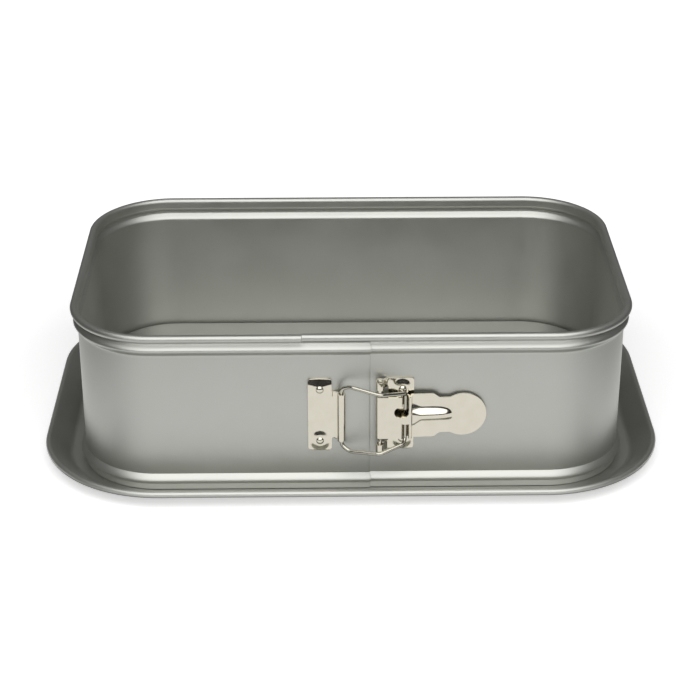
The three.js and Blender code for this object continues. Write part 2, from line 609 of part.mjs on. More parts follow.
// Wire bail: an upright leg in the hook's roll, two arms that rise over the hinge, and ends turned in.
function wireBail() {
  const top = BAIL_HEIGHT / 2;
  const legTop = HOOK_ROLL_LENGTH / 2 + WIRE_BEND + FIT;
  const turnIn = Math.max(LEVER_HEIGHT, TONGUE_HEIGHT) / 2 + WIRE / 2 + FIT;
  const arm = [
    latchPoint(PIVOT_X, BAIL_STANDOFF, BAIL_TIP),
    latchPoint(PIVOT_X, BAIL_STANDOFF, turnIn),
    latchPoint(PIVOT_X - WIRE / 2, BAIL_SHOULDER, turnIn + WIRE / 2),
    latchPoint(HINGE_X, BAIL_KINK, BAIL_KINK_HEIGHT / 2),
    latchPoint(LEG_X + BAIL_RISE_RUN, BAIL_RISE, top),
    latchPoint(LEG_X + 2 * WIRE, BAIL_RISE - WIRE / 2, top),
    latchPoint(LEG_X, HOOK_STANDOFF, legTop),
  ];
  const mirrored = arm.map((p) => p.clone().multiply(new THREE.Vector3(1, 1, -1)));
  return mesh("wire_bail", wire([...arm, ...mirrored.reverse()], WIRE_BEND), PLATED_STEEL);
}

function latch() {
  const hookSeat = LATCH_SHEET + SEAT_RISE;
  const bracketSeat = hookSeat - LAP_STEP;
  const wallInside = -LAP_STEP - SHEET;
  const group = new THREE.Group();
  group.position.set(0, -OUTER_LAYER, LATCH_Z);
  group.add(hookPlate(), latchBracket(), leverPin(), latchLever(), wireBail());
  for (const [place, side] of [["upper", 1], ["lower", -1]]) {
    const hookZ = side * HOOK_RIVET_Z;
    const bracketZ = side * BRACKET_RIVET_Z;
    group.add(rivet("hook_rivet_" + place, HOOK_RIVET_X, hookZ, hookSeat, -SHEET, 0));
    group.add(rivet("bracket_rivet_" + place, BRACKET_RIVETS, bracketZ, bracketSeat, wallInside, SHEET));
  }
  return group;
}

const pan = new THREE.Group();
pan.add(baseTray(), sideBand(), latch());

export default pan;
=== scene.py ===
# %% [markdown]
# # A rectangular springform pan
# The pan is two sheet-metal forms and a small latch. A wide tray carries a raised floor. A sprung
# band stands round that floor, laps over itself at the front and is drawn tight by a lever with a
# wire bail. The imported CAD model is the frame: every piece made here lies where its CAD node lies,
# rides on the same body, and shows rounder rolls, softer bends and real finishes.

# %% Load the frame
import math

import bmesh
import bpy
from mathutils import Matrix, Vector


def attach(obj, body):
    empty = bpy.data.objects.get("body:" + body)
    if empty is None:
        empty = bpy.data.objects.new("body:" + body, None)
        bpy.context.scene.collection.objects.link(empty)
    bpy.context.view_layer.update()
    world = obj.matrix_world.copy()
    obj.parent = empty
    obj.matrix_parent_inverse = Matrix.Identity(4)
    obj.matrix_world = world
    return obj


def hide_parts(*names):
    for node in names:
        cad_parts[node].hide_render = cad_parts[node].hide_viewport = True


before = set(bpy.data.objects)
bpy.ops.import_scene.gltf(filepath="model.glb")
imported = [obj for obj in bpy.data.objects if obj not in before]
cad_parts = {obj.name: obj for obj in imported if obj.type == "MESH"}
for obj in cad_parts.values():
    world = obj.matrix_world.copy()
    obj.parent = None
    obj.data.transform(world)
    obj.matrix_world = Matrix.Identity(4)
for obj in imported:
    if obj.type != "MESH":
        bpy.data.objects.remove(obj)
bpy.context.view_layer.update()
MM = 0.001

# %% [markdown]
# ## The camera
# The photograph looks almost straight at the long side, from about 27 degrees above the table, through
# a long lens. A lens length and a distance could be tried by eye. Here both come from fitting the pan's
# corners in the picture, so the perspective of the rim and the tray agrees.

# %% Camera
FRAME_PIXELS = 700
FOCAL_PIXELS = 1900
SENSOR_MM = 36
ELEVATION, AZIMUTH = math.radians(26.81), math.radians(-0.85)
DISTANCE = 1.0409
TARGET = Vector((0, 0, 0.0356))

back = Vector((
    math.sin(AZIMUTH) * math.cos(ELEVATION),
    -math.cos(AZIMUTH) * math.cos(ELEVATION),
    math.sin(ELEVATION),
))
camera_data = bpy.data.cameras.new("photo_camera")
camera_data.sensor_width = SENSOR_MM
camera_data.lens = SENSOR_MM * FOCAL_PIXELS / FRAME_PIXELS
camera = bpy.data.objects.new("photo_camera", camera_data)
camera.location = TARGET + DISTANCE * back
camera.rotation_euler = (-back).to_track_quat("-Z", "Y").to_euler()
bpy.context.scene.collection.objects.link(camera)
bpy.context.scene.camera = camera
print("lens:", round(camera_data.lens, 1), "mm")

# %% [markdown]
# ## Three finishes
# The band and the tray have a satin silver-grey coating: it mirrors only broad light and dark, and a
# fine grain breaks it up close by. The latch is bright nickel plating over pressed steel, a near mirror
# whose reflections swim because the sheet under it isn't quite flat. Its wire has the same plating, but
# drawing leaves it duller. All three could be plain metals with one roughness. A noise on the roughness
# and a shallow bump give each the small unevenness that it really has. The patterns read Object
# coordinates, which here are the frame's own metres.

# %% Shader helpers
NOISE_SPREAD = (0.3, 0.7)  # most of a noise lies between these


def add_noise(tree, scale, detail):
    where = tree.nodes.new("ShaderNodeTexCoord")
    noise = tree.nodes.new("ShaderNodeTexNoise")
    noise.inputs["Scale"].default_value = scale
    noise.inputs["Detail"].default_value = detail
    tree.links.new(where.outputs["Object"], noise.inputs["Vector"])
    return noise.outputs["Fac"]


def faded(tree, value, places, levels):
    fade = tree.nodes.new("ShaderNodeMapRange")
    fade.inputs["From Min"].default_value, fade.inputs["From Max"].default_value = places
    fade.inputs["To Min"].default_value, fade.inputs["To Max"].default_value = levels
    tree.links.new(value, fade.inputs["Value"])
    return fade.outputs["Result"]


def tinted(tree, value, tones):
    ramp = tree.nodes.new("ShaderNodeValToRGB")
    for element, place, tone in zip(ramp.color_ramp.elements, NOISE_SPREAD, tones):
        element.position = place
        element.color = (*tone, 1)
    tree.links.new(value, ramp.inputs["Fac"])
    return ramp.outputs["Color"]


def bumped(tree, value, height):
    bump = tree.nodes.new("ShaderNodeBump")
    bump.inputs["Strength"].default_value = 1
    bump.inputs["Distance"].default_value = height
    tree.links.new(value, bump.inputs["Height"])
    return bump.outputs["Normal"]


# %% Finishes
COAT_TONES = (0.484, 0.489, 0.455), (0.514, 0.520, 0.487)
PLATE_TONES = (0.625, 0.592, 0.497), (0.657, 0.624, 0.530)
WIRE_TONES = (0.430, 0.415, 0.355), (0.460, 0.445, 0.385)
COAT_ROUGHNESS, PLATE_ROUGHNESS, WIRE_ROUGHNESS = (0.42, 0.48), (0.10, 0.17), (0.17, 0.24)
COAT_CLOUD, COAT_GRAIN = (38, 4), (2400, 2)  # scale and detail of a noise
PLATE_CLOUD, PLATE_SWELL = (160, 3), (210, 1)
GRAIN_HEIGHT, SWELL_HEIGHT = 0.012 * MM, 0.04 * MM
COAT_METALLIC = 0.96  # metal flakes with a little binder


def uneven_metal(name, metallic, tones, roughness, cloud):
    finish = bpy.data.materials.new(name)
    finish.use_nodes = True
    tree = finish.node_tree
    shader = tree.nodes["Principled BSDF"]
    patches = add_noise(tree, *cloud)
    shader.inputs["Metallic"].default_value = metallic
    tree.links.new(tinted(tree, patches, tones), shader.inputs["Base Color"])
    tree.links.new(faded(tree, patches, NOISE_SPREAD, roughness), shader.inputs["Roughness"])
    return finish, tree, shader.inputs["Normal"]


def coated_finish():
    finish, tree, normal = uneven_metal(
        "satin_coated_steel", COAT_METALLIC, COAT_TONES, COAT_ROUGHNESS, COAT_CLOUD
    )
    tree.links.new(bumped(tree, add_noise(tree, *COAT_GRAIN), GRAIN_HEIGHT), normal)
    return finish


def plated_finish(name, tones, roughness):
    finish, tree, normal = uneven_metal(name, 1, tones, roughness, PLATE_CLOUD)
    tree.links.new(bumped(tree, add_noise(tree, *PLATE_SWELL), SWELL_HEIGHT), normal)
    return finish


COATED = coated_finish()
PLATED = plated_finish("bright_nickel_plate", PLATE_TONES, PLATE_ROUGHNESS)
DRAWN = plated_finish("plated_drawn_wire", WIRE_TONES, WIRE_ROUGHNESS)
print("finishes:", COATED.name, PLATED.name, DRAWN.name)

# %% [markdown]
# ## Helpers for sheet metal
# Pressed sheet is a line given a thickness, or a patch given one. `sheet_outline` thickens a line into a
# closed section, for the forms that are swept round the pan. `finish_piece` welds a mesh, points its
# faces out, shades it smooth but for true edges, and hands it to the frame in metres.

# %% Sheet helpers
WELD = 0.002 * MM  # points nearer than this are one
SHARP_ANGLE = 32  # degrees, an edge beyond this stays sharp


def steps(start, stop, count):
    return [start + (stop - start) * i / count for i in range(count + 1)]


def share_of(value, low, high):
    return min(max((value - low) / (high - low), 0), 1)


def ease(value, low, high):
    share = share_of(value, low, high)
    return share * share * (3 - 2 * share)


def arc(x, y, radius, start, stop, count):
    turns = [math.radians(a) for a in steps(start, stop, count)]
    return [Vector((x + radius * math.cos(a), y + radius * math.sin(a))) for a in turns]


def left_normals(points):
    normals = []
    for i in range(len(points)):
        along = points[min(i + 1, len(points) - 1)] - points[max(i - 1, 0)]
        normals.append(Vector((-along.y, along.x)).normalized())
    return normals


def sheet_outline(centre, thickness, normals):
    half = thickness / 2
    left = [p + n * half for p, n in zip(centre, normals)]
    right = [p - n * half for p, n in zip(centre, normals)]
    return left + right[::-1]


def finish_piece(name, mesh, finish, body, nodes, sharp=SHARP_ANGLE):
    bm = bmesh.new()
    bm.from_mesh(mesh)
    bmesh.ops.remove_doubles(bm, verts=bm.verts, dist=WELD)
    bmesh.ops.recalc_face_normals(bm, faces=bm.faces)
    for face in bm.faces:
        face.smooth = True
    bm.to_mesh(mesh)
    bm.free()
    mesh.set_sharp_from_angle(angle=math.radians(sharp))
    mesh.materials.clear()
    mesh.materials.append(finish)
    piece = bpy.data.objects.new(name, mesh)
    bpy.context.scene.collection.objects.link(piece)
    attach(piece, body)
    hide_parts(*nodes)
    print(name, "faces:", len(mesh.polygons))


def mesh_of(name, points, faces):
    mesh = bpy.data.meshes.new(name)
    mesh.from_pydata([Vector(p) * MM for p in points], [], faces)
    return mesh


# %% [markdown]
# ## The tray
# The tray is one pressed sheet: a raised floor, a flat channel that the band stands in, a sloping side
# and a lip rolled over a wire's thickness. It could be a box that is inset and bevelled. But its floor and
# its lip have different corner radii, so here one section is drawn in millimetres and every point of it
# becomes a rounded rectangle. Skinning those rings gives the whole sheet, top and underside.

# %% Sizes of the pan
INNER_LENGTH, INNER_WIDTH, INNER_CORNER = 280, 174, 40
PAN_HEIGHT, SHEET, FIT, FLOOR_FIT = 89.2, 0.6, 0.3, 0.4
LAP_STEP = SHEET + FIT
OUTER_LAYER = INNER_WIDTH / 2 + SHEET
FLOOR_HEIGHT, FLOOR_SHOULDER, CHANNEL_FILLET = 11.7, 2.4, 1.2
BRIM_X, BRIM_Y, TRAY_CORNER = 21.6, 19.4, 64
TRAY_HEIGHT, TRAY_ROLL, TRAY_SLOPE, TRAY_BEND = 9.5, 3.5, 40, 5
SKIRT_FLARE = 0.6
EDGE_RUN = 1.2  # short run beside a bend that keeps the flats flat in smooth shading
LIP_END = -150  # degrees, where the lip's roll ends
CORNER_FACETS, SHOULDER_FACETS, FILLET_FACETS, LIP_FACETS = 28, 8, 6, 26
print("inside:", INNER_LENGTH, "x", INNER_WIDTH, "mm, height:", PAN_HEIGHT, "mm")


# %% Tray section
def tray_centreline(floor_half, lip_half):
    top, low = FLOOR_HEIGHT - SHEET / 2, SHEET / 2
    shoulder = FLOOR_SHOULDER - SHEET / 2
    roll = (TRAY_ROLL - SHEET) / 2
    lip_height = TRAY_HEIGHT - TRAY_ROLL / 2
    slope = math.radians(TRAY_SLOPE)
    lip_start = Vector((lip_half - roll * math.sin(slope), lip_height + roll * math.cos(slope)))
    bend_top = low + TRAY_BEND * (1 - math.cos(slope))
    bend_end = lip_start.x - (lip_start.y - bend_top) / math.tan(slope)
    bend_centre = bend_end - TRAY_BEND * math.sin(slope)
    along = Vector((math.cos(slope), math.sin(slope)))
    bend_end_point = Vector((bend_end, bend_top))
    return [
        Vector((floor_half - INNER_CORNER / 2, top)),
        Vector((floor_half - shoulder - EDGE_RUN, top)),
        *arc(floor_half - shoulder, top - shoulder, shoulder, 90, 0, SHOULDER_FACETS),
        *arc(floor_half + CHANNEL_FILLET, low + CHANNEL_FILLET, CHANNEL_FILLET, 180, 270, FILLET_FACETS),
        Vector((floor_half + 2 * CHANNEL_FILLET, low)),
        *arc(bend_centre, low + TRAY_BEND, TRAY_BEND, 270, 270 + TRAY_SLOPE, FILLET_FACETS),
        bend_end_point + along * EDGE_RUN,
        lip_start - along * EDGE_RUN,
        *arc(lip_half, lip_height, roll, 90 + TRAY_SLOPE, LIP_END, LIP_FACETS),
    ]


def rounded_ring(half_x, half_y, radius, height):
    ring = []
    for i, (sx, sy) in enumerate([(1, -1), (1, 1), (-1, 1), (-1, -1)]):
        centre = sx * (half_x - radius), sy * (half_y - radius)
        corner = arc(*centre, radius, 90 * i - 90, 90 * i, CORNER_FACETS)
        first, last = corner[0], corner[-1]
        lead = Vector((math.cos(math.radians(90 * i)), math.sin(math.radians(90 * i))))
        after = Vector((-lead.y, lead.x))
        corner = [first - lead * EDGE_RUN, *corner, last + after * EDGE_RUN]
        ring += [(p.x, p.y, height) for p in corner]
    return ring


def skin_rings(name, rings):
    count = len(rings[0])
    faces = []
    for r in range(len(rings) - 1):
        for i in range(count):
            j = (i + 1) % count
            faces.append((r * count + i, r * count + j, (r + 1) * count + j, (r + 1) * count + i))
    last = (len(rings) - 1) * count
    faces.append(tuple(range(count)))
    faces.append(tuple(range(last, last + count)))
    return mesh_of(name, [p for ring in rings for p in ring], faces)


# %% Tray mesh
floor_x = INNER_LENGTH / 2 - FLOOR_FIT - SHEET / 2
floor_y = INNER_WIDTH / 2 - LAP_STEP - FLOOR_FIT - SHEET / 2
floor_corner = INNER_CORNER - FLOOR_FIT - SHEET / 2
lip_x = INNER_LENGTH / 2 + SHEET + BRIM_X - TRAY_ROLL / 2
lip_y = OUTER_LAYER + BRIM_Y - TRAY_ROLL / 2
lip_corner = TRAY_CORNER - TRAY_ROLL / 2
channel_middle = INNER_LENGTH / 2 + SHEET + SKIRT_FLARE


def tray_ring(p):
    if p.x < channel_middle:
        out = p.x - floor_x
        return rounded_ring(p.x, floor_y + out, floor_corner + out, p.y)
    out = p.x - lip_x
    return rounded_ring(p.x, lip_y + out, lip_corner + out, p.y)


tray_line = tray_centreline(floor_x, lip_x)
tray_section = sheet_outline(tray_line, SHEET, left_normals(tray_line))
tray_mesh = skin_rings("tray", [tray_ring(p) for p in tray_section])
finish_piece("tray", tray_mesh, COATED, "tray", ["base_tray"])

# %% [markdown]
# ## The side band
# The band is one long strip with a rolled rim, a round bead below it, a bead near the foot that is almost
# a fold, and a short skirt that flares a little. It runs once round a rounded rectangle and its ends lap at
# the front: the outer end goes on past the rim as a plain tongue, and its raw edge is pressed in. It could
# be a box with its beads modelled by hand. A sweep of a section along a path is the rule behind it, so
# Geometry Nodes make it: Curve to Mesh takes the section round the path, and a second, shorter sweep is
# joined to it as the tongue. Path and sections are plain edge loops, so their points stay easy to read.

# %% Band sections
RIM_ROLL, RIM_TURN = 4.1, 285
UPPER_BEAD_Z, UPPER_BEAD_HEIGHT, UPPER_BEAD_OUT = PAN_HEIGHT - 8.7, 7.6, 2.3
LOWER_BEAD_Z, LOWER_BEAD_HEIGHT, LOWER_BEAD_OUT = 6.6, 6.0, 2.4
FOOT_BLUNTNESS = 1.4  # 1 is a sharp fold, 2 a round one
SEAM_X, LAP_LENGTH = 8.6, 34
END_RUN, END_PRESS = 0.6, 0.26  # the outer end is pressed in a little
SKIRT_STEPS, FOOT_STEPS, BEAD_STEPS, RIM_FACETS = 6, 20, 22, 30
LAP_X = SEAM_X - LAP_LENGTH


def bead_swell(z):
    share = min(abs(z - UPPER_BEAD_Z) / (UPPER_BEAD_HEIGHT / 2), 1)
    return UPPER_BEAD_OUT * math.cos(math.pi / 2 * share) ** 2


def foot_swell(z):
    share = min(abs(z - LOWER_BEAD_Z) / (LOWER_BEAD_HEIGHT / 2), 1)
    return LOWER_BEAD_OUT * (1 - share**FOOT_BLUNTNESS)


def wall_line():
    hem, lower_foot = SHEET + FIT, LOWER_BEAD_Z - LOWER_BEAD_HEIGHT / 2
    lower_top = lower_foot + LOWER_BEAD_HEIGHT
    upper_foot = UPPER_BEAD_Z - UPPER_BEAD_HEIGHT / 2
    heights = [
        *steps(hem, lower_foot, SKIRT_STEPS)[:-1],
        *steps(lower_foot, lower_top, FOOT_STEPS),
        lower_top + EDGE_RUN,
        upper_foot - EDGE_RUN,
        *steps(upper_foot, upper_foot + UPPER_BEAD_HEIGHT, BEAD_STEPS),
    ]
    points = []
    for z in heights:
        out = bead_swell(z) + foot_swell(z)
        out += SKIRT_FLARE * max(lower_foot - z, 0) / (lower_foot - hem)
        points.append(Vector((out, z)))
    return points


wall = wall_line()
across = [Vector((-1, 0))] * len(wall)  # even thickness across, so that the lapped layers nest
roll = (RIM_ROLL - SHEET) / 2
rim = arc(roll, PAN_HEIGHT - RIM_ROLL / 2, roll, 180, 180 - RIM_TURN, RIM_FACETS)
full_section = sheet_outline(wall + rim, SHEET, across + left_normals(rim))
tongue_section = sheet_outline(wall, SHEET, across)
print("section points:", len(full_section), len(tongue_section))


# %% Band path
def band_path():
    radius = INNER_CORNER + SHEET / 2
    corner_x, corner_y = INNER_LENGTH / 2 - INNER_CORNER, INNER_WIDTH / 2 - INNER_CORNER
    inner = radius - LAP_STEP

    def corner(sx, sy, start, depth):
        turns = [math.radians(a) for a in steps(start, start + 90, CORNER_FACETS)]
        bend = [
            Vector((sx * corner_x + radius * math.cos(a), sy * corner_y + depth * math.sin(a)))
            for a in turns
        ]
        before = Vector((-math.sin(turns[0]), math.cos(turns[0]))) * EDGE_RUN
        after = Vector((-math.sin(turns[-1]), math.cos(turns[-1]))) * EDGE_RUN
        return [bend[0] - before, *bend, bend[-1] + after]

    return [
        Vector((LAP_X + FIT, -corner_y - inner)),
        *corner(1, -1, -90, inner),
        *corner(1, 1, 0, radius),
        *corner(-1, 1, 90, radius),
        *corner(-1, -1, 180, radius),
        Vector((LAP_X, -corner_y - radius)),
    ]


def edge_loop(name, points, closed):
    count = len(points)
    edges = [(i, (i + 1) % count) for i in range(count if closed else count - 1)]
    mesh = bpy.data.meshes.new(name)
    mesh.from_pydata([Vector(p).to_3d() * MM for p in points], edges, [])
    loop = bpy.data.objects.new(name, mesh)
    bpy.context.scene.collection.objects.link(loop)
    return loop


def standing(section):
    return [Vector((p.x, -p.y)) for p in section]  # a sweep takes a section's Y to the frame's -Z


# %% Node tree helpers
def new_tree(name, inputs):
    tree = bpy.data.node_groups.new(name, "GeometryNodeTree")
    tree.interface.new_socket("Geometry", in_out="INPUT", socket_type="NodeSocketGeometry")
    sockets = {}
    for label, kind in inputs.items():
        sockets[label] = tree.interface.new_socket(label, in_out="INPUT", socket_type=kind).identifier
    tree.interface.new_socket("Geometry", in_out="OUTPUT", socket_type="NodeSocketGeometry")
    return tree, sockets, tree.nodes.new("NodeGroupInput"), tree.nodes.new("NodeGroupOutput")


def run_tree(carrier, tree, values):
    modifier = carrier.modifiers.new(tree.name, "NODES")
    modifier.node_group = tree
    for identifier, value in values.items():
        modifier[identifier] = value
    bpy.context.view_layer.update()
    seen = carrier.evaluated_get(bpy.context.evaluated_depsgraph_get())
    mesh = bpy.data.meshes.new_from_object(seen)
    carrier.modifiers.remove(modifier)
    return mesh


def clear_helpers(*helpers):
    for helper in helpers:
        bpy.data.objects.remove(helper)


# %% Band tree
def swept(tree, path, section):
    nodes, links = tree.nodes, tree.links
    path_curve = nodes.new("GeometryNodeMeshToCurve")
    upright = nodes.new("GeometryNodeSetCurveNormal")
    upright.mode = "Z_UP"
    section_info = nodes.new("GeometryNodeObjectInfo")
    section_curve = nodes.new("GeometryNodeMeshToCurve")
    sweep = nodes.new("GeometryNodeCurveToMesh")
    sweep.inputs["Fill Caps"].default_value = True
    links.new(path, path_curve.inputs["Mesh"])
    links.new(path_curve.outputs["Curve"], upright.inputs["Curve"])
    links.new(upright.outputs["Curve"], sweep.inputs["Curve"])
    links.new(section, section_info.inputs["Object"])
    links.new(section_info.outputs["Geometry"], section_curve.inputs["Mesh"])
    links.new(section_curve.outputs["Curve"], sweep.inputs["Profile Curve"])
    return sweep.outputs["Mesh"]


def band_tree():
    kinds = {
        "Section": "NodeSocketObject",
        "Tongue path": "NodeSocketObject",
        "Tongue section": "NodeSocketObject",
        "Finish": "NodeSocketMaterial",
    }
    tree, sockets, given, made = new_tree("swept_band", kinds)
    nodes, links = tree.nodes, tree.links
    tongue_info = nodes.new("GeometryNodeObjectInfo")
    links.new(given.outputs["Tongue path"], tongue_info.inputs["Object"])
    main = swept(tree, given.outputs["Geometry"], given.outputs["Section"])
    tongue = swept(tree, tongue_info.outputs["Geometry"], given.outputs["Tongue section"])
    join = nodes.new("GeometryNodeMeshBoolean")
    join.operation = "UNION"
    join.solver = "MANIFOLD"
    paint = nodes.new("GeometryNodeSetMaterial")
    realize = nodes.new("GeometryNodeRealizeInstances")
    links.new(main, join.inputs["Mesh 2"])
    links.new(tongue, join.inputs["Mesh 2"])
    links.new(join.outputs["Mesh"], realize.inputs["Geometry"])
    links.new(realize.outputs["Geometry"], paint.inputs["Geometry"])
    links.new(given.outputs["Finish"], paint.inputs["Material"])
    links.new(paint.outputs["Geometry"], made.inputs["Geometry"])
    return tree, sockets


# %% Band mesh
path_points = band_path()
front_y = path_points[-1].y
path_loop = edge_loop("band_path", path_points, False)
section_loop = edge_loop("band_section", standing(full_section), True)
tongue_points = [
    (LAP_X - LAP_STEP, front_y, 0),
    (SEAM_X - END_RUN, front_y, 0),
    (SEAM_X, front_y + END_PRESS, 0),
]
tongue_path = edge_loop("tongue_path", tongue_points, False)
tongue_loop = edge_loop("tongue_section", standing(tongue_section), True)
tree, sockets = band_tree()
band_mesh = run_tree(path_loop, tree, {
    sockets["Section"]: section_loop,
    sockets["Tongue path"]: tongue_path,
    sockets["Tongue section"]: tongue_loop,
    sockets["Finish"]: COATED,
})
clear_helpers(path_loop, section_loop, tongue_path, tongue_loop)
finish_piece("band", band_mesh, COATED, "ring", ["side_band"])

# %% [markdown]
# ## Pressed sheet for the latch
# The latch's plates are small pressings: flat sheet with dished rivet seats, and edges that are bent up or
# rolled into knuckles. A cube with bevels can't show that. Here each one is a grid over the sheet's
# middle surface. Its columns follow the bent line of the sheet, its rows run along the height, and a rule
# lifts the grid where the tool dished it. Solidify then gives the sheet its thickness on both sides, and
# a small Bevel rounds the cut edges so that they catch the light.

# %% Latch sizes
LATCH_SHEET, LATCH_HALF, PLATE_CORNER = 0.9, 20.3, 1.6
LATCH_Z = 43.9
HINGE_X, HINGE_OUT, KNUCKLE_MID, KNUCKLE_TURN = 13.7, 3.4, 1.65, 290
SHEET_MID = LATCH_SHEET / 2
SEAT_TOP, SEAT_FOOT, SEAT_RISE = 2.3, 6.2, 0.8
CLIMB_SHARE = 0.8  # the share of a climbing edge that is bent
CUT_EDGE, CUT_ANGLE, CUT_FACETS = 0.14, 60, 2  # rounding of the cut edges
GRID, GRID_WELD = 0.5, 0.01 * MM
CLIMB_STEPS, KNUCKLE_FACETS, PLATE_FACETS = 12, 28, 5
print("latch height:", 2 * LATCH_HALF, "mm")


def latch_point(x, out, z):
    return Vector((x, -OUTER_LAYER - out, LATCH_Z + z))


def spaced(start, stop, gap=GRID):
    return steps(start, stop, max(1, math.ceil(abs(stop - start) / gap)))


def rows_through(*levels):
    rows = []
    for low, high in zip(levels, levels[1:]):
        rows += spaced(low, high)[:-1]
    return rows + [levels[-1]]


def seat_lift(x, z, rivets):
    away = min(math.hypot(x - rx, z - rz) for rx, rz in rivets)
    return SEAT_RISE * (1 - ease(away, SEAT_TOP, SEAT_FOOT))


def climb_line(start, stop, low, high):
    return [
        Vector((start + (stop - start) * s, low + (high - low) * ease(s, 0, CLIMB_SHARE)))
        for s in steps(0, 1, CLIMB_STEPS)[1:-1]
    ]


def corner_offsets():
    return [PLATE_CORNER * (1 - math.cos(math.radians(a))) for a in steps(0, 90, PLATE_FACETS)]


def corner_half(x, left, right):
    short = max(PLATE_CORNER - min(x - left, right - x), 0)
    return LATCH_HALF - PLATE_CORNER + math.sqrt(max(PLATE_CORNER**2 - short**2, 0))


# %% Sheet grid and thickness
def sheet_grid(name, columns, rows, half_of, lift, keep):
    points, faces = [], []
    for p in columns:
        half = half_of(p.x)
        for row in rows:
            z = min(max(row, -half), half)
            points.append(latch_point(p.x, p.y + lift(p, z), z))
    count = len(rows)
    for c in range(len(columns) - 1):
        for r in range(count - 1):
            if keep((columns[c] + columns[c + 1]) / 2, (rows[r] + rows[r + 1]) / 2):
                first = c * count + r
                faces.append((first, first + 1, first + count + 1, first + count))
    return mesh_of(name, points, faces)


def thicken(mesh):
    bm = bmesh.new()
    bm.from_mesh(mesh)
    bmesh.ops.remove_doubles(bm, verts=bm.verts, dist=GRID_WELD)
    bmesh.ops.dissolve_degenerate(bm, edges=bm.edges, dist=GRID_WELD)
    loose = [v for v in bm.verts if not v.link_faces]
    bmesh.ops.delete(bm, geom=loose, context="VERTS")
    bm.to_mesh(mesh)
    bm.free()
    carrier = bpy.data.objects.new(mesh.name, mesh)
    bpy.context.scene.collection.objects.link(carrier)
    solidify = carrier.modifiers.new("thickness", "SOLIDIFY")
    solidify.thickness = LATCH_SHEET * MM
    solidify.offset = 0
    solidify.use_even_offset = True
    bevel = carrier.modifiers.new("cut edges", "BEVEL")
    bevel.width = CUT_EDGE * MM
    bevel.segments = CUT_FACETS
    bevel.limit_method = "ANGLE"
    bevel.angle_limit = math.radians(CUT_ANGLE)
    bpy.context.view_layer.update()
    seen = carrier.evaluated_get(bpy.context.evaluated_depsgraph_get())
    thick = bpy.data.meshes.new_from_object(seen)
    clear_helpers(carrier)
    return thick


# %% [markdown]
# ## The hook plate
# A flat riveted to the outer layer of the band. Between its two rivets the right edge climbs off the wall
# and is rolled round the upright leg of the wire. The lower rivet has a round dished seat. At the upper one
# the whole plate swells and then leans back to the wall, so that its end mirrors the dark. It could be cut
# and bent as two sheets, but one bent line from left to right is the whole plate, as on the real one.

# %% Hook plate
HOOK_LEFT, HOOK_RIGHT, HOOK_ROLL_HALF = -22.5, -10.5, 13.3
LEG_X, HOOK_OUT, HOOK_ROLL_MID = -5.7, 3.5, 1.65
HOOK_RIVETS = [(-16.5, 14.6), (-16.5, -14.6)]
HOOK_SHIM, SWELL_RUN = 0.15, 5.0  # the flat stands off the wall, and swells up to the upper rivet
LEAN_FROM, LEAN_SLOPE, LEAN_SPREAD = 15.6, 0.24, 0.3  # height, slope, and how it rises aside of the rivet


def hook_columns():
    flat = [HOOK_LEFT + c for c in corner_offsets()]
    flat += spaced(HOOK_LEFT + PLATE_CORNER, HOOK_RIGHT - PLATE_CORNER)[1:-1]
    flat += [HOOK_RIGHT - c for c in reversed(corner_offsets())]
    return [
        *[Vector((x, SHEET_MID)) for x in flat],
        *climb_line(HOOK_RIGHT, LEG_X, SHEET_MID, HOOK_OUT - HOOK_ROLL_MID),
        *arc(LEG_X, HOOK_OUT, HOOK_ROLL_MID, 270, 270 + KNUCKLE_TURN, KNUCKLE_FACETS),
    ]


def hook_half(x):
    return corner_half(x, HOOK_LEFT, HOOK_RIGHT) if x <= HOOK_RIGHT else LATCH_HALF


def hook_lift(p, z):
    if p.x > HOOK_RIGHT:
        return 0
    rivet_x, rivet_z = HOOK_RIVETS[0]
    swell = SEAT_RISE * ease(z, rivet_z - SWELL_RUN, rivet_z)
    lean = LEAN_SLOPE * max(z - LEAN_FROM - LEAN_SPREAD * abs(p.x - rivet_x), 0)
    return max(seat_lift(p.x, z, HOOK_RIVETS), swell) + HOOK_SHIM - lean


def hook_keep(p, z):
    return p.x < HOOK_RIGHT or abs(z) < HOOK_ROLL_HALF


hook_rows = rows_through(-LATCH_HALF, -HOOK_ROLL_HALF, HOOK_ROLL_HALF, LATCH_HALF)
hook_grid = sheet_grid("hook_plate_sheet", hook_columns(), hook_rows, hook_half, hook_lift, hook_keep)
hook_mesh = thicken(hook_grid)
finish_piece("hook_plate_sheet", hook_mesh, PLATED, "ring", ["hook_plate"])

# %% [markdown]
# ## The hinge bracket and its pin
# The bracket is riveted to the inner layer of the band. Its left edge climbs away from the wall above and
# below the lever and is rolled round the hinge pin. It could be a flat with two tubes set on it, but then
# the bend between them would be missing. A sheet grid like the hook plate's has that bend, and the cells
# beside the lever are left out. The pin is turned, with a flattened head at each end. Spin could make it,
# but its seam and axis then need merging, so here rings of points are skinned along the axis.

# %% Bracket
BRACKET_RIGHT, KNUCKLE_LENGTH = 30.9, 4.9
BRACKET_RIVETS = [(25.0, 14.1), (25.0, -14.1)]
BRACKET_MID = SHEET_MID - LAP_STEP
KNUCKLE_FOOT = LATCH_HALF - KNUCKLE_LENGTH
BRACKET_LEFT = HINGE_X + SHEET_MID + HINGE_OUT - BRACKET_MID
SEAT_BLEND = 1.0  # the seats fade out this near to the climbing edge


